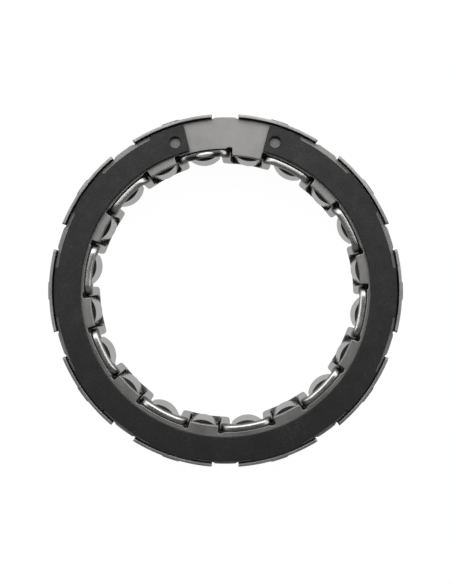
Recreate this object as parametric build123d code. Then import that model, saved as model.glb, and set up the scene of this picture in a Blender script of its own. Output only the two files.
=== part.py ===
from build123d import *
import math
import os

# Double-cage sprag clutch, lying on its back face. Millimetres and degrees.
# The clutch axis is +Z through the origin, the back face is z = 0, and the
# castellated rim with the retaining ring faces +Z.

# Races that the clutch runs between, a standard gap apart
inner_race_r = 24.86
race_gap = 8.33

# Pattern round the ring: one rim tooth, one plate tab and two sprags repeat together
sprag_count = 20
sprag_pitch = 360 / sprag_count
tooth_pitch = 2 * sprag_pitch
tooth_count = sprag_count // 2
first_tooth = 0
first_tab = sprag_pitch / 2
first_hoop = first_tab + sprag_pitch
ring_gap_centre = 89.5
pliers_centre = 90

# Sprags
sprag_length = 8.4
inner_cam_r = 4.2
outer_cam_r = 4.6
cam_offset = 0.45
inner_head_width = 5.8
outer_head_width = 6.2
waist_width = 4.1
inner_head_depth = 2.3
outer_head_depth = 2.3
neck_slope = 0.9
sprag_end_gap = 0.3

# Inner cage: one serpentine band, with hoops at the front and the back by turns, which
# stand a little outside the crossbars between them
inner_cage_gap = 0.24
inner_cage_wall = 1.45
pocket_gap = 0.25
front_hoop_width = 1.4
back_hoop_width = 1.3
back_hoop_lift = 0.4
hoop_corner_r = 1.9
hoop_chamfer = 0.3
hoop_relief = 0.1

# Outer cage: a drawn cup with a window for each sprag and a castellated rim
cage_sheet = 0.55
cage_race_gap = 0.74
flange_gap = 0.12
draw_chamfer = 0.5
window_gap = 0.3
window_end_gap = 0.25
rim_above_ring = 0.4
notch_angle = 8.7

# Pad pressed out of the middle of each tooth, to sit in a groove of the outer race
pad_half_angle = 3.0
pad_height = 0.2
pad_top_step = 0.15
pad_root_rise = 0.4

# Front plate: a ring with a tab over every second sprag and a key in every rim notch
plate_thickness = 0.8
plate_edge_gap = 0.05
plate_hoop_gap = 0.1
tab_reach = 1.25
tab_angle = 12.2
tab_corner_r = 0.45
key_reach = 0.15
key_side_gap = 0.15

# Retaining ring: a lobed snap ring with two pliers holes
ring_thickness = 1.0
ring_inner_step = 0.59
ring_edge_gap = 0.75
lobe_gap = 0.25
lobe_half_angle = 8.0
lobe_chamfer = 0.2
ring_drop = 0.2
ring_gap_half_angle = 14.5
ring_end_corner_r = 0.7
pliers_hole_r = 1.2
pliers_hole_angle = 18.5

# Ribbon spring: a thin band with a window and a tongue for each sprag
spring_sheet = 0.2
spring_top_gap = 0.3
spring_window_gap = 0.6
spring_end_gap = 0.3
tongue_length = 4.0
tongue_depth = 1.1

# Heights worked out from the stack, from the back face up
back_hoop_top = back_hoop_lift + back_hoop_width
sprag_back = back_hoop_top + sprag_end_gap
sprag_front = sprag_back + sprag_length
front_hoop_base = sprag_front + sprag_end_gap
front_hoop_top = front_hoop_base + front_hoop_width
plate_top = front_hoop_top
plate_base = plate_top - plate_thickness
ledge = plate_base
ring_top = plate_top + ring_thickness
rim_top = ring_top + rim_above_ring

# Radii worked out from the races and the fits
outer_race_r = inner_race_r + race_gap
inner_cage_r = inner_race_r + inner_cage_gap
inner_cage_outer_r = inner_cage_r + inner_cage_wall
flange_r = inner_cage_outer_r + flange_gap
cage_wall_r = outer_race_r - cage_race_gap
rim_r = cage_wall_r + cage_sheet
plate_inner_r = inner_cage_outer_r + plate_hoop_gap
plate_outer_r = cage_wall_r - plate_edge_gap
key_r = cage_wall_r + key_reach
tab_r = plate_inner_r - tab_reach
ring_inner_r = plate_inner_r + ring_inner_step
ring_outer_r = cage_wall_r - ring_edge_gap
lobe_r = cage_wall_r - lobe_gap
sprag_middle_r = (inner_race_r + outer_race_r) / 2
spring_inner_r = sprag_middle_r - spring_sheet / 2
spring_outer_r = sprag_middle_r + spring_sheet / 2

# Cutters pass this far beyond what they cut, and radii this close are the same
overcut = 1.0
same_radius = 1e-3


def around(solid, count, start):
    """Copies of a solid spaced evenly about the clutch axis."""
    return [Rot(0, 0, start + 360 * i / count) * solid for i in range(count)]


def sector(inner_r, outer_r, half_angle):
    """Flat piece of a ring, centred on +X."""
    outer_arc = CenterArc((0, 0), outer_r, -half_angle, 2 * half_angle)
    inner_arc = CenterArc((0, 0), inner_r, half_angle, -2 * half_angle)
    side_up = Line(outer_arc @ 1, inner_arc @ 0)
    side_down = Line(inner_arc @ 1, outer_arc @ 0)
    return make_face([outer_arc, side_up, inner_arc, side_down])


def slab(sketch, base, top):
    """A flat sketch raised between two heights."""
    return extrude(Pos(0, 0, base) * sketch, top - base)


def corners_near(sketch, radius):
    return [v for v in sketch.vertices() if abs(math.hypot(v.X, v.Y) - radius) < same_radius]


def revolved(points, turn=360):
    """A profile of (radius, height) points turned about the axis, centred on +X."""
    profile = make_face(Polyline(*points, close=True))
    return Rot(0, 0, -turn / 2) * revolve(Plane.XZ * profile, Axis.Z, turn)


def radial_prism(outline, inner_r, outer_r):
    """Cutter on +X from an outline with x along the ring and y as the height."""
    plane = Plane(origin=(inner_r, 0, 0), x_dir=(0, 1, 0), z_dir=(1, 0, 0))
    return extrude(plane * outline, outer_r - inner_r)


def window_outline(width, low, high):
    return Pos(0, low) * Rectangle(width, high - low, align=(Align.CENTER, Align.MIN))


def flared_outline(width, closed_end, open_end, flare):
    """Outline of a pocket whose open end flares, to round the corners beside it."""
    outward = math.copysign(1, open_end - closed_end)
    outline = window_outline(width, min(closed_end, open_end), max(closed_end, open_end))
    for side in (-1, 1):
        corner = Pos(side * (width + flare) / 2, open_end - outward * flare / 2) * Rectangle(flare, flare)
        disc = Pos(side * (width / 2 + flare), open_end - outward * flare) * Circle(flare)
        outline += corner - disc
    lip = Pos(0, open_end + outward * overcut / 2) * Rectangle(width + 2 * flare, overcut)
    return outline + lip


def cage_cup():
    """Drawn cup of the outer cage: back flange, wall, joggle and rim."""
    inner_wall_r = cage_wall_r - cage_sheet
    points = [
        (flange_r, 0),
        (cage_wall_r - draw_chamfer, 0),
        (cage_wall_r, draw_chamfer),
        (cage_wall_r, ledge - cage_sheet),
        (rim_r, ledge),
        (rim_r, rim_top),
        (cage_wall_r, rim_top),
        (cage_wall_r, ledge),
        (inner_wall_r, ledge),
        (inner_wall_r, cage_sheet),
        (flange_r, cage_sheet),
    ]
    return revolved(points)


def rim_notch():
    """Cutter for one notch between two teeth, down to the wall of the cup."""
    outline = sector(cage_wall_r, rim_r + overcut, notch_angle / 2)
    return slab(outline, ledge - cage_sheet, rim_top + overcut)


def pressed_pad():
    """Pad of one tooth, with sloping shoulders, from the middle of the sheet outwards."""
    root_r = cage_wall_r + cage_sheet / 2
    low = ledge + pad_root_rise
    high = rim_top - pad_top_step
    points = [
        (root_r, low),
        (rim_r, low),
        (rim_r + pad_height, low + pad_height),
        (rim_r + pad_height, high - pad_height),
        (rim_r, high),
        (root_r, high),
    ]
    return revolved(points, 2 * pad_half_angle)


def outer_cage():
    cage = cage_cup()
    outline = window_outline(
        outer_head_width + 2 * window_gap,
        sprag_back - window_end_gap,
        sprag_front + window_end_gap,
    )
    window = radial_prism(outline, cage_wall_r - cage_sheet - overcut, cage_wall_r + overcut)
    cage += around(pressed_pad(), tooth_count, first_tooth)
    cage -= around(window, sprag_count, first_tab)
    return cage - around(rim_notch(), tooth_count, first_tooth + tooth_pitch / 2)


def front_plate():
    """Flat plate whose keys stop it from turning in the cup."""
    plate = Circle(plate_outer_r) - Circle(plate_inner_r)
    tab = sector(tab_r, plate_inner_r + tab_reach, tab_angle / 2)
    tab = fillet(corners_near(tab, tab_r), tab_corner_r)
    plate += around(tab, tooth_count, first_tab)
    side_angle = math.degrees(key_side_gap / cage_wall_r)
    key = sector(plate_outer_r - overcut, key_r, notch_angle / 2 - side_angle)
    plate += around(key, tooth_count, first_tooth + tooth_pitch / 2)
    return slab(plate, plate_base, plate_top)


def upright_edges(solid, radius):
    """Edges along the clutch axis at one radius."""
    found = []
    for edge in solid.edges().filter_by(Axis.Z):
        middle = edge.center()
        if abs(math.hypot(middle.X, middle.Y) - radius) < same_radius:
            found.append(edge)
    return found


def retaining_ring():
    """Lobed snap ring, open at the top, with a pliers hole near each end."""
    ring = Circle(ring_outer_r) - Circle(ring_inner_r)
    lobe = sector(ring_outer_r - overcut, lobe_r, lobe_half_angle)
    ring += around(lobe, tooth_count, first_tooth)
    gap = sector(ring_inner_r - overcut, lobe_r + overcut, ring_gap_half_angle)
    ring -= Rot(0, 0, ring_gap_centre) * gap
    hole_circle_r = (ring_inner_r + ring_outer_r) / 2
    for side in (-1, 1):
        turn = pliers_centre + side * pliers_hole_angle
        ring -= Rot(0, 0, turn) * Pos(hole_circle_r, 0) * Circle(pliers_hole_r)
    solid = slab(ring, plate_top, ring_top)
    solid = fillet(upright_edges(solid, ring_inner_r), ring_end_corner_r)
    solid = chamfer(upright_edges(solid, lobe_r), lobe_chamfer)
    return Pos(0, -ring_drop, 0) * solid


def inner_cage():
    """Serpentine band: front hoops open at the back, back hoops open at the front."""
    hoop_r = inner_cage_r + hoop_relief
    points = [
        (hoop_r, back_hoop_lift),
        (inner_cage_outer_r, back_hoop_lift),
        (inner_cage_outer_r, front_hoop_top - hoop_chamfer),
        (inner_cage_outer_r - hoop_chamfer, front_hoop_top),
        (hoop_r + hoop_chamfer, front_hoop_top),
        (hoop_r, front_hoop_top - hoop_chamfer),
        (hoop_r, front_hoop_base),
        (inner_cage_r, front_hoop_base),
        (inner_cage_r, back_hoop_top),
        (hoop_r, back_hoop_top),
    ]
    band = revolved(points)
    pocket_width = inner_head_width + 2 * pocket_gap
    under_hoop = flared_outline(pocket_width, front_hoop_base, back_hoop_lift, hoop_corner_r)
    over_hoop = flared_outline(pocket_width, back_hoop_top, front_hoop_top, hoop_corner_r)
    for outline, start in ((under_hoop, first_hoop), (over_hoop, first_tab)):
        pocket = radial_prism(outline, inner_cage_r - overcut, inner_cage_outer_r + overcut)
        band -= around(pocket, tooth_count, start)
    return band


def cam_disc(race_r, cam_r, offset, side):
    """Disc whose edge touches a race, with its centre beside the sprag's middle line."""
    centre_r = race_r + side * cam_r
    return Pos(offset, math.sqrt(centre_r**2 - offset**2)) * Circle(cam_r)


def sprag_profile():
    """Cross-section of a sprag, with y as the radius and x along the ring."""
    inner_shoulder = inner_race_r + inner_head_depth
    outer_shoulder = outer_race_r - outer_head_depth
    right_side = [
        (inner_head_width / 2, inner_race_r),
        (inner_head_width / 2, inner_shoulder - neck_slope / 2),
        (waist_width / 2, inner_shoulder + neck_slope / 2),
        (waist_width / 2, outer_shoulder - neck_slope / 2),
        (outer_head_width / 2, outer_shoulder + neck_slope / 2),
        (outer_head_width / 2, outer_race_r),
    ]
    left_side = [(-x, y) for x, y in reversed(right_side)]
    body = make_face(Polyline(*right_side, *left_side, close=True))
    slack = 2 * outer_head_width
    inner_half = Pos(0, sprag_middle_r) * Rectangle(slack, slack, align=(Align.CENTER, Align.MAX))
    outer_half = Pos(0, sprag_middle_r) * Rectangle(slack, slack, align=(Align.CENTER, Align.MIN))
    body -= inner_half - cam_disc(inner_race_r, inner_cam_r, cam_offset / 2, 1)
    body -= outer_half - cam_disc(outer_race_r, outer_cam_r, -cam_offset / 2, -1)
    return body


def sprag():
    """One sprag, turned onto +X."""
    return Rot(0, 0, -90) * slab(sprag_profile(), sprag_back, sprag_front)


def energizing_spring():
    """Ribbon spring that stands on the back flange between the two cages."""
    band = Circle(spring_outer_r) - Circle(spring_inner_r)
    spring = slab(band, cage_sheet, plate_base - spring_top_gap)
    window_width = waist_width + 2 * spring_window_gap
    outline = window_outline(window_width, sprag_back - spring_end_gap, sprag_front + spring_end_gap)
    window = radial_prism(outline, spring_inner_r - overcut, spring_outer_r + overcut)
    spring -= around(window, sprag_count, first_tab)
    tongue_middle = (sprag_back + sprag_front) / 2
    tongue = Pos(spring_inner_r, window_width / 2, tongue_middle) * Box(
        tongue_depth, spring_sheet, tongue_length, align=(Align.MIN, Align.MIN, Align.CENTER)
    )
    return spring + around(tongue, sprag_count, first_tab)


def write(name, solid):
    export_step(solid, os.path.join("parts", name + ".step"))


os.makedirs("parts", exist_ok=True)
write("outer_cage", outer_cage())
write("front_plate", front_plate())
write("retaining_ring", retaining_ring())
write("inner_cage", inner_cage())
write("energizing_spring", energizing_spring())
for number, one_sprag in enumerate(around(sprag(), sprag_count, first_tab), start=1):
    write(f"sprag_{number:02d}", one_sprag)
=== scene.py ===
import math

import bmesh
import bpy
import numpy as np
from mathutils import Matrix, Vector


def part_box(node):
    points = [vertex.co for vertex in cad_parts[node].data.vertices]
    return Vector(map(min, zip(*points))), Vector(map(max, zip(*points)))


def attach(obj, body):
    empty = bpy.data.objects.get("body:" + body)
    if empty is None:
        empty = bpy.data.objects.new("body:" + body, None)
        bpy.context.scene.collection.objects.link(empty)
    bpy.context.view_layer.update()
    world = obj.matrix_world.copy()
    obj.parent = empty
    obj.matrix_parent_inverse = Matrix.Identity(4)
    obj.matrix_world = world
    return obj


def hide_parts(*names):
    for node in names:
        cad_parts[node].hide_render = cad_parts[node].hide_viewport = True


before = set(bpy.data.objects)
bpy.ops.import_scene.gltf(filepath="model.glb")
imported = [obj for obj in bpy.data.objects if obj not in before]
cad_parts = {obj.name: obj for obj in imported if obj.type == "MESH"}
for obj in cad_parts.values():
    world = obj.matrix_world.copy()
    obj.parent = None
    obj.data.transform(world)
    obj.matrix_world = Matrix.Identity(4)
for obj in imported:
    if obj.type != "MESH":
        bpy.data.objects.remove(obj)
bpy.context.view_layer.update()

# Lengths below are in millimetres and angles in degrees; meshes are written in metres
MM = 0.001
ROOT_BODY = "outer_assembly"


def heights(node):
    """Lowest and highest level of a CAD node, in millimetres."""
    low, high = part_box(node)
    return low.z / MM, high.z / MM


# Pattern round the ring
SPRAG_COUNT = 20
SPRAG_PITCH = 360 / SPRAG_COUNT
TOOTH_COUNT = SPRAG_COUNT // 2
TOOTH_PITCH = 360 / TOOTH_COUNT
FIRST_TAB = SPRAG_PITCH / 2

# Levels read from the frame
RIM_TOP = heights("outer_cage")[1]
PLATE_BASE, PLATE_TOP = heights("front_plate")
RING_TOP = heights("retaining_ring")[1]
CAGE_BASE, CAGE_TOP = heights("inner_cage")
SPRAG_BACK, SPRAG_FRONT = heights("sprag_01")

# Outer cage
CAGE_SHEET = 0.55
CAGE_WALL_R = 32.45
RIM_R = CAGE_WALL_R + CAGE_SHEET
FLANGE_R = 26.67
FLANGE_EDGE_R = 0.16
DRAW_R = 0.85
JOGGLE_R = 0.5
RIM_EDGE_R = 0.07
CAGE_STEP = 0.75
WINDOW_WIDTH = 6.8
WINDOW_END_GAP = 0.25
WINDOW_CORNER_R = 0.6
NOTCH_ANGLE = 8.7
NOTCH_DROP = 0.3
NOTCH_UNDERCUT = 0.01
TOOTH_CORNER_R = 0.3
PAD_HALF_ANGLE = 3.0
PAD_FOOT_ANGLE = 0.2
PAD_SLOPE_ANGLE = 0.6
PAD_TOLERANCE = 0.02
PAD_HEIGHT = 0.2
PAD_TOP_STEP = 0.15
PAD_ROOT_RISE = 0.4

# How far cutters run past what they cut, along the radius and along the axis
CUTTER_REACH = 2
CUTTER_OVERRUN = 1

# Front plate; an ear is the recess beside a tab, with its back and foot measured in ear radii
PLATE_R = 32.4
KEY_R = 32.6
KEY_HALF_ANGLE = 4.085
KEY_FLANK_ANGLE = 0.8
PLATE_INNER_R = 26.65
TAB_R = 25.4
TAB_HALF_ANGLE = 6.1
TAB_CORNER_R = 0.45
EAR_R = 0.3
EAR_BACK = 2.6
EAR_FOOT = 4
TAB_BEND_R = 0.2
EDGE_R = 0.09
EDGE_STRIP = 0.06
PLATE_STEP = 0.3
TAB_STEPS = 8
OPENING_STEPS = 14
EASE_REACH = 12

# Retaining ring
RING_INNER_R = 27.24
RING_OUTER_R = 31.7
RING_DROP = 0.2
LOBE_R = 32.2
LOBE_HALF_ANGLE = 8.0
LOBE_FLANK_ANGLE = 0.25
LOBE_ROOT_R = 0.22
LOBE_TIP_R = 0.24
GAP_CENTRE = 89.5
GAP_HALF_ANGLE = 14.5
RING_END_R = 0.75
RING_END_OUTER_R = 0.3
RING_EDGE_R = 0.1
PLIERS_HOLE_R = 1.05
PLIERS_HOLE_ANGLE = 18.5
PLIERS_PITCH_R = (RING_INNER_R + RING_OUTER_R) / 2
PLIERS_CHAMFER = 0.14
PLIERS_CHAMFER_SPREAD = 1.15

# Inner cage: width along the band's face, inner and outer radius, and the two edge radii
CAGE_MIDDLE_R = 25.825
CROSSBAR = (1.7, 25.1, 26.55, 0.42, 0.42)
FRONT_HOOP = (1.4, 25.3, 26.59, 0.55, 0.32)
BACK_HOOP = (1.3, 25.15, 26.55, 0.25, 0.25)
CAGE_BEND_R = 1.3
CAGE_PATH_STEP = 0.7
CAGE_SHARP_ANGLE = 60
BAR_LEAN = 0.3

# Sprags
INNER_RACE_R = 24.86
OUTER_RACE_R = 33.19
INNER_CAM_R = 4.2
OUTER_CAM_R = 4.6
CAM_OFFSET = 0.45
INNER_HEAD = 5.8
OUTER_HEAD = 6.2
WAIST = 4.1
INNER_HEAD_DEPTH = 2.3
OUTER_HEAD_DEPTH = 2.3
NECK_SLOPE = 0.9
NECK_R = 0.7
HEAD_CORNER_R = 0.25
SPRAG_EDGE = 0.07
SPRAG_SHARP_ANGLE = 30
SPRAG_END_SHARE = 0.9

# Bare steels: dark and light tone, roughness range, scales of blotches and grain, and bump strength
STEELS = {
    "drawn_steel": ((0.26, 0.256, 0.25), (0.37, 0.364, 0.355), (0.38, 0.5), (140, 2600), 0.25),
    "tumbled_steel": ((0.235, 0.231, 0.225), (0.285, 0.281, 0.274), (0.38, 0.52), (160, 3000), 0.25),
    "burnished_steel": ((0.5, 0.495, 0.485), (0.64, 0.635, 0.62), (0.24, 0.36), (200, 2400), 0.2),
    "ground_steel": ((0.5, 0.5, 0.495), (0.62, 0.62, 0.61), (0.1, 0.2), (220, 1500), 0.15),
    "spring_steel": ((0.3, 0.29, 0.275), (0.44, 0.43, 0.415), (0.24, 0.36), (180, 2500), 0.2),
    # Painted shade: this dark steel stands for shade on the back hoops under the tabs and on the sprag ends
    "painted_shade_steel": ((0.05, 0.05, 0.052), (0.09, 0.09, 0.09), (0.32, 0.44), (260, 2200), 0.3),
    # Painted shade: this dark steel stands for the shade on the rim's inner wall beside the ring
    "wall_shade_steel": ((0.045, 0.044, 0.043), (0.07, 0.069, 0.067), (0.55, 0.7), (260, 2200), 0.2),
}
GRIND_LINES = (1, 1, 6)
BLOTCH_LIMITS = (0.34, 0.62)
STEEL_TONES = (0.55, 1.15)
GRAIN_SHARE = 0.7
GRAIN_DEPTH = 0.03

# Black oxide
OXIDE_TONES = (0.6, 1.3)
OXIDE_ROUGHNESS = (0.56, 0.42)
OXIDE_COLOURS = ((0.25, (0.012, 0.012, 0.013)), (0.75, (0.023, 0.023, 0.024)), (0.97, (0.05, 0.05, 0.05)))
SPECK_SHARE = 0.9

# Painted shade and highlight spots: half lengths of the oval and colour; a place is a radius and an angle
PAINTED_HOLE_SHADE = ((1.25, 1.25, 1.25), (0.16, 0.158, 0.154))
PAINTED_DARK_REFLECTION = ((3.9, 1.4, 2), (0.07, 0.07, 0.07))
PAINTED_GLINT = ((1.75, 0.42, 2), (0.97, 0.97, 0.96))
DARK_REFLECTION_SPOT = (25.9, 99)
PAINTED_GLINT_SPOT = (25.85, 98.4)

# Front hoops: painted shade, darkest on the flanks and lighter on the crown
PAINTED_FLANK_SHADE = 0.35
PAINTED_CROWN_SHADE = 0.85

# Back hoops get painted shade this close to the middle of a tab, up to this height over the hoop
SHADE_HALF_ANGLE = 6.2
SHADE_RISE = 0.2

# Painted shade on the inner wall of the rim: faces that look mostly inwards, from this far below the top of
# the plate
WALL_SHADE_DROP = 0.3
INWARD_SHARE = 0.7
WALL_TOLERANCE = 0.1

# Camera
RIM_CENTRE = Vector((0.19, -0.2, RIM_TOP)) * MM
CAMERA_PLACE = Vector((4.0, 2.1, RIM_TOP + 195)) * MM
LENS = 64.4

# Floor, with its glow for camera rays and for reflections; the drop is in metres
FLOOR_HALF = 1500
FLOOR_DROP = 0.00002
FLOOR_TONE = (0.85, 0.85, 0.85, 1)
FLOOR_SEEN_GLOW = 1.03
FLOOR_MIRRORED_GLOW = 0.5
FLOOR_GLOW_SHARE = 0.95

# Brightness of the studio, by height from the horizon up and by side from -Y to +Y
SKY_BY_HEIGHT = ((0.0, 0.6), (0.35, 0.5), (0.78, 0.46), (0.94, 0.16), (1.0, 0.04))
SKY_BY_SIDE = (
    (0.0, 0.3), (0.18, 0.2), (0.35, 0.11), (0.43, 0.22), (0.5, 0.4), (0.57, 0.95), (0.7, 1.0), (1.0, 0.75)
)
SKY_STRENGTH = 2

# Softboxes in metres: place, size and power
SOFTBOXES = {
    "top_box": ((0.0, 0.3, 0.5), (0.7, 0.42), 2.2),
    "left_box": ((-0.5, 0.05, 0.3), (0.2, 0.5), 0.5),
    "right_box": ((0.5, 0.05, 0.3), (0.2, 0.5), 0.5),
}
LAMP_TARGET = Vector((0, 0, 0.008))


def clamped(value):
    return min(1, max(0, value))


def off_tooth(angle):
    """Angle to the nearest multiple of the tooth pitch."""
    return abs((angle + TOOTH_PITCH / 2) % TOOTH_PITCH - TOOTH_PITCH / 2)


def rounded_outline(corners, steps=6, closed=True):
    """Points along an outline of (x, y, radius) corners, with each corner as an arc."""
    points = []
    count = len(corners)
    for i, (x, y, radius) in enumerate(corners):
        here = np.array((x, y), float)
        inside = 0 < i < count - 1
        if radius <= 0 or not (closed or inside):
            points.append(here)
            continue
        before = np.array(corners[i - 1][:2], float) - here
        after = np.array(corners[(i + 1) % count][:2], float) - here
        room = 0.499 * min(np.linalg.norm(before), np.linalg.norm(after))
        before /= np.linalg.norm(before)
        after /= np.linalg.norm(after)
        half = math.acos(max(-1, min(1, float(before @ after)))) / 2
        reach = min(radius / math.tan(half), room)
        radius = reach * math.tan(half)
        middle = before + after
        middle /= np.linalg.norm(middle)
        centre = here + middle * radius / math.sin(half)
        first = here + before * reach - centre
        last = here + after * reach - centre
        sweep = math.pi - 2 * half
        for k in range(steps + 1):
            share = k / steps
            arm = (math.sin((1 - share) * sweep) * first + math.sin(share * sweep) * last) / math.sin(sweep)
            points.append(centre + arm)
    return np.array(points)


def divided(points, longest, closed=True):
    """The same outline with its long runs divided."""
    out = []
    count = len(points)
    for i in range(count if closed else count - 1):
        here, after = points[i], points[(i + 1) % count]
        pieces = max(1, math.ceil(np.linalg.norm(after - here) / longest))
        out += [here + (after - here) * k / pieces for k in range(pieces)]
    if not closed:
        out.append(points[-1])
    return np.array(out)


def sideways(loop):
    """Unit normals to the right of a closed outline's direction."""
    along = np.roll(loop, -1, axis=0) - np.roll(loop, 1, axis=0)
    along /= np.maximum(np.linalg.norm(along, axis=1, keepdims=True), 1e-9)
    return np.stack([along[:, 1], -along[:, 0]], axis=1)


def polar(radius, angle):
    return np.array((radius * math.cos(math.radians(angle)), radius * math.sin(math.radians(angle))))


def mesh_object(name, points, faces):
    mesh = bpy.data.meshes.new(name)
    mesh.from_pydata([tuple(float(c) * MM for c in p) for p in points], [], faces)
    work = bmesh.new()
    work.from_mesh(mesh)
    bmesh.ops.recalc_face_normals(work, faces=work.faces)
    work.to_mesh(mesh)
    work.free()
    obj = bpy.data.objects.new(name, mesh)
    bpy.context.scene.collection.objects.link(obj)
    return obj


def skinned(name, sections, wrap):
    """A closed solid skinned over sections of equal length; without wrap its ends are capped."""
    sections = np.asarray(sections, float)
    count, size = sections.shape[:2]
    faces = []
    for i in range(count if wrap else count - 1):
        base, following = i * size, ((i + 1) % count) * size
        for j in range(size):
            k = (j + 1) % size
            faces.append((base + j, base + k, following + k, following + j))
    if not wrap:
        faces.append(tuple(range(size)))
        faces.append(tuple((count - 1) * size + j for j in range(size)))
    return mesh_object(name, sections.reshape(-1, 3), faces)


def shade(obj, sharp_angle=38):
    """Smooth shading that keeps real corners, with flat faces kept flat."""
    for polygon in obj.data.polygons:
        polygon.use_smooth = True
    obj.data.set_sharp_from_angle(angle=math.radians(sharp_angle))
    weighted = obj.modifiers.new("flat_faces", "WEIGHTED_NORMAL")
    weighted.keep_sharp = True
    return obj


def lathed(name, profile, angles):
    """A closed (radius, height) profile turned about the axis through the given angles."""
    sections = []
    for angle in angles:
        turn = math.radians(angle)
        sections.append([(r * math.cos(turn), r * math.sin(turn), z) for r, z in profile])
    return skinned(name, sections, wrap=True)


def stamped(name, inner, outer, base, top, edges, inner_top_edge):
    """A flat stamped ring between an inner and an outer outline, with rounded edges.

    edges is the radius on three edges; inner_top_edge gives the fourth point by point.
    A flat strip beside each rounded edge keeps its shading off the faces."""
    into_from_inner = sideways(inner)
    into_from_outer = -sideways(outer)
    steps = 4
    sections = []
    for i in range(len(inner)):
        section = []
        corners = (
            (inner[i], into_from_inner[i], edges, base, 1, False),
            (inner[i], into_from_inner[i], inner_top_edge[i], top, -1, True),
            (outer[i], into_from_outer[i], edges, top, -1, False),
            (outer[i], into_from_outer[i], edges, base, 1, True),
        )
        for point, into, radius, level, inward, rising in corners:
            arc = []
            for k in range(steps + 1):
                turn = math.radians(90 * k / steps)
                spot = point + into * radius * (1 - math.cos(turn))
                arc.append((spot[0], spot[1], level + inward * radius * (1 - math.sin(turn))))
            flat = point + into * (radius + EDGE_STRIP)
            arc.append((flat[0], flat[1], level))
            section += arc if rising else arc[::-1]
        sections.append(section)
    return skinned(name, sections, wrap=True)


def prism(name, outline, base, top, edge):
    """A solid of one outline raised along the axis, with rounded end edges."""
    into = -sideways(outline)
    steps = 3
    sections = []
    for k in range(steps + 1):
        turn = math.radians(90 * k / steps)
        ring = outline + into * edge * (1 - math.sin(turn))
        sections.append([(x, y, base + edge * (1 - math.cos(turn))) for x, y in ring])
    for k in range(steps + 1):
        turn = math.radians(90 * (1 - k / steps))
        ring = outline + into * edge * (1 - math.sin(turn))
        sections.append([(x, y, top - edge * (1 - math.cos(turn))) for x, y in ring])
    return skinned(name, sections, wrap=False)


def radial_cutter(name, outline, inner_r, outer_r, turns):
    """Prisms along the radius, one for each turn, with x round the ring and y as the height."""
    points = []
    faces = []
    size = len(outline)
    for turn in turns:
        out = polar(1, turn)
        round_way = polar(1, turn + 90)
        base = len(points)
        for radius in (inner_r, outer_r):
            for x, y in outline:
                spot = out * radius + round_way * x
                points.append((spot[0], spot[1], y))
        for j in range(size):
            k = (j + 1) % size
            faces.append((base + j, base + k, base + size + k, base + size + j))
        faces.append(tuple(base + j for j in range(size)))
        faces.append(tuple(base + size + j for j in range(size)))
    return mesh_object(name, points, faces)


def cut(obj, cutter):
    """Cuts the cutter from the object and removes the cutter."""
    boolean = obj.modifiers.new("cut", "BOOLEAN")
    boolean.operation = "DIFFERENCE"
    boolean.solver = "EXACT"
    boolean.object = cutter
    bpy.context.view_layer.update()
    shaped = bpy.data.meshes.new_from_object(obj.evaluated_get(bpy.context.evaluated_depsgraph_get()))
    obj.modifiers.clear()
    obj.data = shaped
    bpy.data.objects.remove(cutter)


def soften(obj, width, angle=40):
    """Small rounded edges on a cut part."""
    bevel = obj.modifiers.new("edges", "BEVEL")
    bevel.width = width * MM
    bevel.segments = 2
    bevel.limit_method = "ANGLE"
    bevel.angle_limit = math.radians(angle)
    bevel.use_clamp_overlap = True


def finish_piece(obj, body, material, node):
    obj.data.materials.clear()
    obj.data.materials.append(material)
    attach(obj, body)
    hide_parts(node)


# Outer cage

def cage_profile():
    """Section through the drawn cup, from the flange round the wall to the rim and back."""
    wall_inner = CAGE_WALL_R - CAGE_SHEET
    pad_low = PLATE_BASE + PAD_ROOT_RISE
    pad_high = RIM_TOP - PAD_TOP_STEP
    corners = [
        (FLANGE_R, 0, FLANGE_EDGE_R),
        (CAGE_WALL_R, 0, DRAW_R),
        (CAGE_WALL_R, PLATE_BASE - CAGE_SHEET, JOGGLE_R),
        (RIM_R, PLATE_BASE, JOGGLE_R),
        (RIM_R, pad_low, 0),
        (RIM_R, pad_low + PAD_HEIGHT / 2, 0),
        (RIM_R, pad_low + PAD_HEIGHT, 0),
        (RIM_R, pad_high - PAD_HEIGHT, 0),
        (RIM_R, pad_high - PAD_HEIGHT / 2, 0),
        (RIM_R, pad_high, 0),
        (RIM_R, RIM_TOP, RIM_EDGE_R),
        (CAGE_WALL_R, RIM_TOP, 0.05),
        (CAGE_WALL_R, PLATE_BASE, 0.02),
        (wall_inner, PLATE_BASE, 0.1),
        (wall_inner, CAGE_SHEET, DRAW_R - CAGE_SHEET),
        (FLANGE_R, CAGE_SHEET, FLANGE_EDGE_R),
    ]
    return rounded_outline(corners, steps=5)


def cage_angles():
    """Angles round the cup, close together on both shoulders of each pad."""
    angles = set(round(i * CAGE_STEP, 3) for i in range(round(360 / CAGE_STEP)))
    for i in range(TOOTH_COUNT):
        for side in (-1, 1):
            for part in (-0.55, -0.35, -0.15, 0.15, 0.35):
                angles.add(round((i * TOOTH_PITCH + side * (PAD_HALF_ANGLE + part)) % 360, 3))
    return sorted(angles)


def press_pads(obj):
    """Presses the outer face of each tooth outwards over its middle."""
    low = PLATE_BASE + PAD_ROOT_RISE
    high = RIM_TOP - PAD_TOP_STEP
    for vertex in obj.data.vertices:
        x, y, z = (c / MM for c in vertex.co)
        radius = math.hypot(x, y)
        angle = math.degrees(math.atan2(y, x))
        side_share = clamped((PAD_HALF_ANGLE + PAD_FOOT_ANGLE - off_tooth(angle)) / PAD_SLOPE_ANGLE)
        end_share = clamped(min(z - low, high - z) / PAD_HEIGHT)
        if radius > RIM_R - PAD_TOLERANCE and side_share > 0 and end_share > 0:
            scale = 1 + PAD_HEIGHT * min(side_share, end_share) / radius
            vertex.co.x *= scale
            vertex.co.y *= scale


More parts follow.
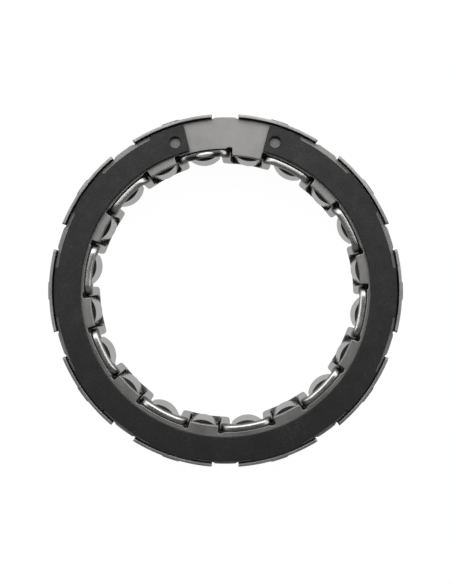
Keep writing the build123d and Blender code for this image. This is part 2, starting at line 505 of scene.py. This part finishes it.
def notch_outline():
    """Outline of a notch, flared at the top so that the teeth have rounded corners."""
    half = RIM_R * math.sin(math.radians(NOTCH_ANGLE / 2))
    low = PLATE_BASE - CAGE_SHEET - NOTCH_DROP
    above = RIM_TOP + CUTTER_OVERRUN
    flare = half + TOOTH_CORNER_R * 2
    corners = [
        (-half, low, 0.0),
        (half, low, 0.0),
        (half, RIM_TOP, TOOTH_CORNER_R),
        (flare, RIM_TOP, 0.0),
        (flare, above, 0.0),
        (-flare, above, 0.0),
        (-flare, RIM_TOP, 0.0),
        (-half, RIM_TOP, TOOTH_CORNER_R),
    ]
    return rounded_outline(corners)


def window_outline():
    low = SPRAG_BACK - WINDOW_END_GAP
    high = SPRAG_FRONT + WINDOW_END_GAP
    half = WINDOW_WIDTH / 2
    corners = [
        (-half, low, WINDOW_CORNER_R),
        (half, low, WINDOW_CORNER_R),
        (half, high, WINDOW_CORNER_R),
        (-half, high, WINDOW_CORNER_R),
    ]
    return rounded_outline(corners)


def make_outer_cage():
    cage = lathed("outer_cage_shell", cage_profile(), cage_angles())
    press_pads(cage)
    sprag_turns = [FIRST_TAB + i * SPRAG_PITCH for i in range(SPRAG_COUNT)]
    notch_turns = [(i + 0.5) * TOOTH_PITCH for i in range(TOOTH_COUNT)]
    inside = CAGE_WALL_R - CUTTER_REACH
    outside = CAGE_WALL_R + CUTTER_REACH
    cut(cage, radial_cutter("windows", window_outline(), inside, outside, sprag_turns))
    notch_floor = CAGE_WALL_R * math.cos(math.radians(NOTCH_ANGLE / 2)) - NOTCH_UNDERCUT
    cut(cage, radial_cutter("notches", notch_outline(), notch_floor, outside, notch_turns))
    soften(cage, RIM_EDGE_R)
    return shade(cage)


# Front plate

def plate_period(start):
    """Inner outline of the plate over one tab and one hoop opening, as corners."""
    left = start - TAB_HALF_ANGLE
    right = start + TAB_HALF_ANGLE
    ear = math.degrees(EAR_R / PLATE_INNER_R)
    root = PLATE_INNER_R + EAR_R
    corners = [
        (*polar(PLATE_INNER_R, left - EAR_FOOT * ear), EAR_R),
        (*polar(root, left - EAR_BACK * ear), EAR_R),
        (*polar(root, left), EAR_R),
        (*polar(TAB_R, left), TAB_CORNER_R),
    ]
    for k in range(1, TAB_STEPS):
        corners.append((*polar(TAB_R, left + 2 * TAB_HALF_ANGLE * k / TAB_STEPS), 0))
    corners += [
        (*polar(TAB_R, right), TAB_CORNER_R),
        (*polar(root, right), EAR_R),
        (*polar(root, right + EAR_BACK * ear), EAR_R),
        (*polar(PLATE_INNER_R, right + EAR_FOOT * ear), EAR_R),
    ]
    opening = TOOTH_PITCH - 2 * TAB_HALF_ANGLE - 2 * EAR_FOOT * ear
    for k in range(1, OPENING_STEPS):
        turn = right + EAR_FOOT * ear + opening * k / OPENING_STEPS
        corners.append((*polar(PLATE_INNER_R, turn), 0))
    return corners


def plate_edge_r(angle):
    """Radius of the plate's outer edge, which stands out into each rim notch."""
    off_notch = abs(angle % TOOTH_PITCH - TOOTH_PITCH / 2)
    share = clamped((KEY_HALF_ANGLE - off_notch) / KEY_FLANK_ANGLE)
    return PLATE_R + (KEY_R - PLATE_R) * share * share * (3 - 2 * share)


def eased(turns):
    """Running mean of the angles round a closed outline, so that the outer edge has no crease."""
    beyond = np.concatenate([turns[-EASE_REACH:] - 360, turns, turns[:EASE_REACH] + 360])
    width = 2 * EASE_REACH + 1
    return np.convolve(beyond, np.full(width, 1 / width), "valid")


def make_front_plate():
    corners = []
    for i in range(TOOTH_COUNT):
        corners += plate_period(FIRST_TAB + i * TOOTH_PITCH)
    inner = divided(rounded_outline(corners, steps=4), PLATE_STEP)
    turns = np.unwrap(np.degrees(np.arctan2(inner[:, 1], inner[:, 0])), period=360)
    outer = np.array([polar(plate_edge_r(turn), turn) for turn in eased(turns)])
    radius = np.linalg.norm(inner, axis=1)
    at_tip = np.clip((PLATE_INNER_R - radius) / (PLATE_INNER_R - TAB_R), 0, 1)
    bend = EDGE_R + (TAB_BEND_R - EDGE_R) * at_tip**2
    return shade(stamped("front_plate_disc", inner, outer, PLATE_BASE, PLATE_TOP, EDGE_R, bend))


# Retaining ring

def arc_corners(radius, first, last, step=1.0):
    """Points along an arc about the axis, without its two ends."""
    count = max(2, math.ceil(abs(last - first) / step))
    return [(*polar(radius, first + (last - first) * k / count), 0) for k in range(1, count)]


def ring_outline():
    """Outline of the snap ring: lobes at the rim teeth and rounded ends at the gap."""
    start = GAP_CENTRE + GAP_HALF_ANGLE
    end = GAP_CENTRE + 360 - GAP_HALF_ANGLE
    turns = []
    for i in range(math.floor(start / TOOTH_PITCH), math.ceil(end / TOOTH_PITCH) + 1):
        turns.append((i * TOOTH_PITCH - LOBE_HALF_ANGLE, True))
        turns.append((i * TOOTH_PITCH + LOBE_HALF_ANGLE, False))
    turns = [turn for turn in turns if start < turn[0] < end]
    radius = RING_OUTER_R if turns[0][1] else LOBE_R
    at = start
    corners = [(*polar(radius, start), RING_END_OUTER_R)]
    for angle, rising in turns:
        lean = -LOBE_FLANK_ANGLE if rising else LOBE_FLANK_ANGLE
        other = LOBE_R if rising else RING_OUTER_R
        first = angle + lean if radius == RING_OUTER_R else angle
        last = angle if other == LOBE_R else angle + lean
        corners += arc_corners(radius, at, first)
        corners.append((*polar(radius, first), LOBE_ROOT_R if rising else LOBE_TIP_R))
        corners.append((*polar(other, last), LOBE_TIP_R if rising else LOBE_ROOT_R))
        radius, at = other, last
    corners += arc_corners(radius, at, end)
    corners.append((*polar(radius, end), RING_END_OUTER_R))
    corners.append((*polar(RING_INNER_R, end), RING_END_R))
    corners += arc_corners(RING_INNER_R, end, start)
    corners.append((*polar(RING_INNER_R, start), RING_END_R))
    return rounded_outline(corners, steps=5)


def make_retaining_ring():
    drop = np.array((0, -RING_DROP))
    ring = prism("snap_ring_body", ring_outline() + drop, PLATE_TOP, RING_TOP, RING_EDGE_R)
    levels = (
        (PLATE_TOP - CUTTER_OVERRUN, 1.0),
        (RING_TOP - PLIERS_CHAMFER, 1.0),
        (RING_TOP + 0.02, PLIERS_CHAMFER_SPREAD),
        (RING_TOP + CUTTER_OVERRUN, PLIERS_CHAMFER_SPREAD),
    )
    for side in (-1, 1):
        spot = polar(PLIERS_PITCH_R, 90 + side * PLIERS_HOLE_ANGLE) + drop
        sections = []
        for level, spread in levels:
            disc = [spot + polar(PLIERS_HOLE_R * spread, 7.5 * k) for k in range(48)]
            sections.append([(x, y, level) for x, y in disc])
        cut(ring, skinned("pliers_hole", sections, wrap=False))
    return shade(ring)


# Inner cage

def cage_path():
    """Middle line of the serpentine band, with x round the ring and y as the height."""
    front = CAGE_TOP - FRONT_HOOP[0] / 2
    back = CAGE_BASE + BACK_HOOP[0] / 2
    bar_gap = math.radians(SPRAG_PITCH) * CAGE_MIDDLE_R
    shift = math.radians(BAR_LEAN) * CAGE_MIDDLE_R
    corners = []
    for i in range(TOOTH_COUNT):
        bar = 2 * i * bar_gap + shift
        following = (2 * i + 1) * bar_gap - shift
        corners += [(bar, front), (bar, back), (following, back), (following, front)]
    lead_in = (-bar_gap / 2, front, 0)
    lead_out = (2 * TOOTH_COUNT * bar_gap - bar_gap / 2, front, 0)
    path = [lead_in] + [(x, y, CAGE_BEND_R) for x, y in corners] + [lead_out]
    return divided(rounded_outline(path, steps=9, closed=False), CAGE_PATH_STEP, closed=False)[:-1]


def make_inner_cage():
    path = cage_path()
    round_length = math.radians(360) * CAGE_MIDDLE_R
    beyond = np.array((round_length, 0))
    before = np.vstack([path[-1] - beyond, path[:-1]])
    after = np.vstack([path[1:], path[0] + beyond])
    along = after - before
    along /= np.linalg.norm(along, axis=1, keepdims=True)
    middle_level = (CAGE_BASE + CAGE_TOP) / 2
    sections = []
    for point, way in zip(path, along):
        hoop = FRONT_HOOP if point[1] > middle_level else BACK_HOOP
        width, inner_r, outer_r, inner_edge, outer_edge = (
            bar * way[1] ** 2 + end * way[0] ** 2 for bar, end in zip(CROSSBAR, hoop)
        )
        across = np.array((way[1], -way[0]))
        corners = [
            (-width / 2, inner_r, inner_edge),
            (width / 2, inner_r, inner_edge),
            (width / 2, outer_r, outer_edge),
            (-width / 2, outer_r, outer_edge),
        ]
        section = []
        for off, radius in rounded_outline(corners, steps=5):
            spot = point + across * off
            place = polar(radius, math.degrees(spot[0] / CAGE_MIDDLE_R))
            section.append((place[0], place[1], spot[1]))
        sections.append(section)
    return shade(skinned("inner_cage_band", sections, wrap=True), CAGE_SHARP_ANGLE)


# Sprags

def cam_points(race_r, cam_r, offset, side, half_width, steps=16):
    """Points along a cam from its right flank to its left."""
    centre_r = race_r + side * cam_r
    centre = (offset, math.sqrt(centre_r**2 - offset**2))
    first = math.asin((half_width - offset) / cam_r)
    last = math.asin((-half_width - offset) / cam_r)
    points = []
    for k in range(steps + 1):
        turn = first + (last - first) * k / steps
        points.append((centre[0] + cam_r * math.sin(turn), centre[1] - side * cam_r * math.cos(turn)))
    return points


def sprag_outline():
    """Cross-section of a sprag, with y as the radius, from the outer cam round to the inner one."""
    inner_shoulder = INNER_RACE_R + INNER_HEAD_DEPTH
    outer_shoulder = OUTER_RACE_R - OUTER_HEAD_DEPTH
    neck = [
        (OUTER_HEAD / 2, outer_shoulder + NECK_SLOPE / 2),
        (WAIST / 2, outer_shoulder - NECK_SLOPE / 2),
        (WAIST / 2, inner_shoulder + NECK_SLOPE / 2),
        (INNER_HEAD / 2, inner_shoulder - NECK_SLOPE / 2),
    ]
    outer = cam_points(OUTER_RACE_R, OUTER_CAM_R, -CAM_OFFSET / 2, -1, OUTER_HEAD / 2)
    inner = cam_points(INNER_RACE_R, INNER_CAM_R, CAM_OFFSET / 2, 1, INNER_HEAD / 2)
    corners = []
    for cam, side in ((outer, -1), (inner[::-1], 1)):
        last = len(cam) - 1
        corners += [(x, y, HEAD_CORNER_R if k in (0, last) else 0) for k, (x, y) in enumerate(cam)]
        flank = neck if side < 0 else neck[::-1]
        corners += [(side * x, y, NECK_R) for x, y in flank]
    return rounded_outline(corners, steps=4)


def make_sprag(number, turn):
    outline = sprag_outline()
    way = math.radians(turn - 90)
    spin = np.array(((math.cos(way), -math.sin(way)), (math.sin(way), math.cos(way))))
    body = prism(f"sprag_body_{number:02d}", outline @ spin.T, SPRAG_BACK, SPRAG_FRONT, SPRAG_EDGE)
    return shade(body, SPRAG_SHARP_ANGLE)


# Materials

def node_material(name):
    material = bpy.data.materials.new(name)
    material.use_nodes = True
    tree = material.node_tree
    shader = tree.nodes["Principled BSDF"]
    place = tree.nodes.new("ShaderNodeTexCoord")
    return material, tree, shader, place.outputs["Object"]


def noise(tree, place, scale, detail, roughness):
    node = tree.nodes.new("ShaderNodeTexNoise")
    node.inputs["Scale"].default_value = scale
    node.inputs["Detail"].default_value = detail
    node.inputs["Roughness"].default_value = roughness
    tree.links.new(place, node.inputs["Vector"])
    return node.outputs["Fac"]


def spread(tree, value, low, high, out_low, out_high):
    node = tree.nodes.new("ShaderNodeMapRange")
    node.inputs["From Min"].default_value = low
    node.inputs["From Max"].default_value = high
    node.inputs["To Min"].default_value = out_low
    node.inputs["To Max"].default_value = out_high
    tree.links.new(value, node.inputs["Value"])
    return node.outputs["Result"]


def ramp(tree, value, stops):
    stops = tuple(stops)
    node = tree.nodes.new("ShaderNodeValToRGB")
    elements = node.color_ramp.elements
    while len(elements) < len(stops):
        elements.new(0.5)
    for element, (position, colour) in zip(elements, stops):
        element.position = position
        element.color = (*colour, 1)
    tree.links.new(value, node.inputs["Fac"])
    return node.outputs["Color"]


def bumped(tree, shader, height, strength):
    node = tree.nodes.new("ShaderNodeBump")
    node.inputs["Strength"].default_value = strength
    node.inputs["Distance"].default_value = GRAIN_DEPTH * MM
    tree.links.new(height, node.inputs["Height"])
    tree.links.new(node.outputs["Normal"], shader.inputs["Normal"])


def stretched(tree, place, scales):
    """Coordinates scaled apart along the three axes, for drawn or ground lines."""
    node = tree.nodes.new("ShaderNodeMapping")
    node.inputs["Scale"].default_value = scales
    tree.links.new(place, node.inputs["Vector"])
    return node.outputs["Vector"]


def greys(stops):
    """Stops of grey for a ramp, from positions and levels."""
    return [(position, (level, level, level)) for position, level in stops]


def mixed(tree, first, second, share):
    """The first value plus a share of the second."""
    node = tree.nodes.new("ShaderNodeMath")
    node.operation = "MULTIPLY_ADD"
    node.inputs[1].default_value = share
    tree.links.new(second, node.inputs[0])
    tree.links.new(first, node.inputs[2])
    return node.outputs["Value"]


def scaled(tree, value, factor):
    node = tree.nodes.new("ShaderNodeMath")
    node.operation = "MULTIPLY"
    node.inputs[1].default_value = factor
    tree.links.new(value, node.inputs[0])
    return node.outputs["Value"]


def larger(tree, first, second):
    node = tree.nodes.new("ShaderNodeMath")
    node.operation = "MAXIMUM"
    tree.links.new(first, node.inputs[0])
    tree.links.new(second, node.inputs[1])
    return node.outputs["Value"]


def steel(name, lines=None):
    """Bare steel whose tone and gloss vary in blotches, with a fine grain."""
    dark, light, roughness, (blotch, grain), bump = STEELS[name]
    material, tree, shader, place = node_material(name)
    shader.inputs["Metallic"].default_value = 1.0
    patches = noise(tree, place, blotch, detail=5.0, roughness=0.65)
    colour = ramp(tree, patches, zip(BLOTCH_LIMITS, (dark, light)))
    tree.links.new(colour, shader.inputs["Base Color"])
    along = place if lines is None else stretched(tree, place, lines)
    fine = noise(tree, along, grain, detail=4.0, roughness=0.7)
    tone = mixed(tree, patches, fine, GRAIN_SHARE)
    tree.links.new(spread(tree, tone, *STEEL_TONES, *roughness), shader.inputs["Roughness"])
    bumped(tree, shader, fine, bump)
    return material


def tint_spot(material, spot, turn, reach, colour):
    """Tints an oval spot of a finish, with its half lengths as the reach, in millimetres."""
    tree = material.node_tree
    base = tree.nodes["Principled BSDF"].inputs["Base Color"]
    oval = tree.nodes.new("ShaderNodeMapping")
    oval.vector_type = "TEXTURE"
    oval.inputs["Location"].default_value = [c * MM for c in spot]
    oval.inputs["Rotation"].default_value = (0, 0, math.radians(turn))
    oval.inputs["Scale"].default_value = [c * MM for c in reach]
    tree.links.new(tree.nodes["Texture Coordinate"].outputs["Object"], oval.inputs["Vector"])
    length = tree.nodes.new("ShaderNodeVectorMath")
    length.operation = "LENGTH"
    tree.links.new(oval.outputs["Vector"], length.inputs[0])
    blend = tree.nodes.new("ShaderNodeMix")
    blend.data_type = "RGBA"
    tree.links.new(spread(tree, length.outputs["Value"], 0.8, 1.0, 1, 0), blend.inputs["Factor"])
    tree.links.new(base.links[0].from_socket, blend.inputs[6])
    blend.inputs[7].default_value = (*colour, 1)
    tree.links.new(blend.outputs[2], base)


def tint_heights(material, stops):
    """Multiplies a finish's colour by a factor at each of the given heights, in millimetres."""
    tree = material.node_tree
    base = tree.nodes["Principled BSDF"].inputs["Base Color"]
    parts = tree.nodes.new("ShaderNodeSeparateXYZ")
    tree.links.new(tree.nodes["Texture Coordinate"].outputs["Object"], parts.inputs["Vector"])
    low, high = stops[0][0], stops[-1][0]
    share = spread(tree, parts.outputs["Z"], low * MM, high * MM, 0, 1)
    factors = greys([((height - low) / (high - low), factor) for height, factor in stops])
    blend = tree.nodes.new("ShaderNodeMix")
    blend.data_type = "RGBA"
    blend.blend_type = "MULTIPLY"
    blend.inputs["Factor"].default_value = 1
    tree.links.new(base.links[0].from_socket, blend.inputs[6])
    tree.links.new(ramp(tree, share, factors), blend.inputs[7])
    tree.links.new(blend.outputs[2], base)


def black_oxide():
    """Matte black oxide, faintly mottled, with bright specks where it is worn."""
    material, tree, shader, place = node_material("black_oxide_finish")
    shader.inputs["Metallic"].default_value = 0.5
    shader.inputs["Specular IOR Level"].default_value = 0.6
    cloud = noise(tree, place, scale=260, detail=6.0, roughness=0.7)
    speck = noise(tree, place, scale=3300, detail=2.0, roughness=0.6)
    tone = mixed(tree, cloud, speck, SPECK_SHARE)
    colour = ramp(tree, spread(tree, tone, *OXIDE_TONES, 0, 1), OXIDE_COLOURS)
    tree.links.new(colour, shader.inputs["Base Color"])
    tree.links.new(spread(tree, tone, *OXIDE_TONES, *OXIDE_ROUGHNESS), shader.inputs["Roughness"])
    bumped(tree, shader, speck, strength=0.5)
    return material


# Camera, floor, world and lamps

def make_camera():
    data = bpy.data.cameras.new("camera")
    data.lens = LENS
    data.sensor_width = 36
    data.clip_start = 0.01
    data.clip_end = 20
    camera = bpy.data.objects.new("camera", data)
    camera.location = CAMERA_PLACE
    look = RIM_CENTRE - CAMERA_PLACE
    side = look.cross(Vector((0, 1, 0))).normalized()
    up = side.cross(look).normalized()
    turn = Matrix((side, up, -look.normalized())).transposed()
    camera.matrix_world = Matrix.Translation(CAMERA_PLACE) @ turn.to_4x4()
    bpy.context.scene.collection.objects.link(camera)
    bpy.context.scene.camera = camera


def make_floor():
    size = FLOOR_HALF
    points = [(-size, -size, 0), (size, -size, 0), (size, size, 0), (-size, size, 0)]
    floor = mesh_object("floor", points, [(0, 1, 2, 3)])
    floor.location.z = -FLOOR_DROP
    material = bpy.data.materials.new("floor_white")
    material.use_nodes = True
    tree = material.node_tree
    tree.nodes.clear()
    out = tree.nodes.new("ShaderNodeOutputMaterial")
    matte = tree.nodes.new("ShaderNodeBsdfDiffuse")
    matte.inputs["Color"].default_value = FLOOR_TONE
    path = tree.nodes.new("ShaderNodeLightPath")
    glow = tree.nodes.new("ShaderNodeEmission")
    glow.inputs["Color"].default_value = (1, 1, 1, 1)
    seen_glow = scaled(tree, path.outputs["Is Camera Ray"], FLOOR_SEEN_GLOW)
    mirrored_glow = scaled(tree, path.outputs["Is Glossy Ray"], FLOOR_MIRRORED_GLOW)
    tree.links.new(larger(tree, seen_glow, mirrored_glow), glow.inputs["Strength"])
    either = larger(tree, path.outputs["Is Camera Ray"], path.outputs["Is Glossy Ray"])
    share = scaled(tree, either, FLOOR_GLOW_SHARE)
    mix = tree.nodes.new("ShaderNodeMixShader")
    tree.links.new(share, mix.inputs["Fac"])
    tree.links.new(matte.outputs["BSDF"], mix.inputs[1])
    tree.links.new(glow.outputs["Emission"], mix.inputs[2])
    tree.links.new(mix.outputs["Shader"], out.inputs["Surface"])
    floor.data.materials.append(material)


def make_world():
    world = bpy.data.worlds.new("studio")
    bpy.context.scene.world = world
    world.use_nodes = True
    tree = world.node_tree
    tree.nodes.clear()
    out = tree.nodes.new("ShaderNodeOutputWorld")
    sky = tree.nodes.new("ShaderNodeBackground")
    place = tree.nodes.new("ShaderNodeTexCoord")
    parts = tree.nodes.new("ShaderNodeSeparateXYZ")
    tree.links.new(place.outputs["Generated"], parts.inputs["Vector"])
    tree.links.new(ramp(tree, parts.outputs["Z"], greys(SKY_BY_HEIGHT)), sky.inputs["Color"])
    toward = ramp(tree, spread(tree, parts.outputs["Y"], -1, 1, 0, 1), greys(SKY_BY_SIDE))
    tree.links.new(scaled(tree, toward, SKY_STRENGTH), sky.inputs["Strength"])
    white = tree.nodes.new("ShaderNodeBackground")
    white.inputs["Color"].default_value = (1, 1, 1, 1)
    path = tree.nodes.new("ShaderNodeLightPath")
    mix = tree.nodes.new("ShaderNodeMixShader")
    tree.links.new(path.outputs["Is Camera Ray"], mix.inputs["Fac"])
    tree.links.new(sky.outputs["Background"], mix.inputs[1])
    tree.links.new(white.outputs["Background"], mix.inputs[2])
    tree.links.new(mix.outputs["Shader"], out.inputs["Surface"])


def softbox(name, place, size, power):
    data = bpy.data.lights.new(name, "AREA")
    data.shape = "RECTANGLE"
    data.size, data.size_y = size
    data.energy = power
    lamp = bpy.data.objects.new(name, data)
    lamp.location = place
    way = LAMP_TARGET - Vector(place)
    lamp.rotation_mode = "QUATERNION"
    lamp.rotation_quaternion = way.to_track_quat("-Z", "Y")
    bpy.context.scene.collection.objects.link(lamp)


# Finishes and pieces

def make_finishes():
    """Every finish by its name."""
    finishes = {name: steel(name, GRIND_LINES if name == "ground_steel" else None) for name in STEELS}
    finishes["black_oxide"] = black_oxide()
    return finishes


def paint_shade_in_pliers_holes(material):
    """Paints shade onto the plate where it shows through the two pliers holes."""
    x, y = polar(PLIERS_PITCH_R, 90 - PLIERS_HOLE_ANGLE)
    for side in (-1, 1):
        tint_spot(material, (side * x, y - RING_DROP, PLATE_TOP), 0, *PAINTED_HOLE_SHADE)


def paint_light_on_front_hoops(material):
    """Paints shade on the front hoops' flanks, and paints a dark reflection and a glint on one hoop."""
    base = CAGE_TOP - FRONT_HOOP[0]
    # Painted shade: the hoops' flanks are darkened and the crown less so
    tint_heights(material, (
        (base - 0.2, 1),
        (base + 0.1, PAINTED_FLANK_SHADE),
        (CAGE_TOP - 0.5, PAINTED_FLANK_SHADE),
        (CAGE_TOP - 0.1, PAINTED_CROWN_SHADE),
    ))
    # Painted reflection: a dark patch with a painted glint on one hoop
    turn = DARK_REFLECTION_SPOT[1] - 90
    tint_spot(material, (*polar(*DARK_REFLECTION_SPOT), CAGE_TOP), turn, *PAINTED_DARK_REFLECTION)
    tint_spot(material, (*polar(*PAINTED_GLINT_SPOT), CAGE_TOP), turn, *PAINTED_GLINT)


def dress_outer_cage(cage_finish, wall_shade_finish):
    """Drawn steel, with painted shade on the inner wall of the rim above the plate."""
    outer_cage = make_outer_cage()
    finish_piece(outer_cage, ROOT_BODY, cage_finish, "outer_cage")
    outer_cage.data.materials.append(wall_shade_finish)
    for polygon in outer_cage.data.polygons:
        x, y, z = (c / MM for c in polygon.center)
        radius = math.hypot(x, y)
        faces_in = polygon.normal.x * x + polygon.normal.y * y < -INWARD_SHARE * radius
        on_rim = z > PLATE_TOP - WALL_SHADE_DROP and radius > CAGE_WALL_R - WALL_TOLERANCE
        polygon.material_index = int(faces_in and on_rim)


def dress_inner_cage(hoop_finish, painted_shade_finish):
    """Burnished steel, with painted shade on the back hoops under the tabs."""
    inner_cage = make_inner_cage()
    finish_piece(inner_cage, "inner_cage", hoop_finish, "inner_cage")
    inner_cage.data.materials.append(painted_shade_finish)
    for polygon in inner_cage.data.polygons:
        low = polygon.center.z < (CAGE_BASE + BACK_HOOP[0] + SHADE_RISE) * MM
        turn = math.degrees(math.atan2(polygon.center.y, polygon.center.x))
        near_tab = off_tooth(turn - FIRST_TAB) < SHADE_HALF_ANGLE
        polygon.material_index = int(low and near_tab and polygon.normal.z > -0.5)


def dress_sprags(ground_finish, painted_shade_finish):
    """Ground flanks and cams, with painted shade on the ends."""
    for i in range(SPRAG_COUNT):
        name = f"sprag_{i + 1:02d}"
        sprag = make_sprag(i + 1, FIRST_TAB + i * SPRAG_PITCH)
        finish_piece(sprag, name, ground_finish, name)
        sprag.data.materials.append(painted_shade_finish)
        for polygon in sprag.data.polygons:
            # The end faces take the dark steel as painted shade
            polygon.material_index = int(abs(polygon.normal.z) > SPRAG_END_SHARE)


def dress_spring(spring_finish):
    """The ribbon spring is hidden and keeps the shape of its CAD node."""
    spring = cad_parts["energizing_spring"]
    spring.data.materials.clear()
    spring.data.materials.append(spring_finish)


def main():
    finish = make_finishes()
    paint_shade_in_pliers_holes(finish["tumbled_steel"])
    paint_light_on_front_hoops(finish["burnished_steel"])
    dress_outer_cage(finish["drawn_steel"], finish["wall_shade_steel"])
    finish_piece(make_front_plate(), ROOT_BODY, finish["tumbled_steel"], "front_plate")
    finish_piece(make_retaining_ring(), ROOT_BODY, finish["black_oxide"], "retaining_ring")
    dress_inner_cage(finish["burnished_steel"], finish["painted_shade_steel"])
    dress_sprags(finish["ground_steel"], finish["painted_shade_steel"])
    dress_spring(finish["spring_steel"])
    make_floor()
    make_world()
    for name, (place, size, power) in SOFTBOXES.items():
        softbox(name, place, size, power)
    make_camera()
    bpy.context.scene.view_settings.view_transform = "Standard"


main()
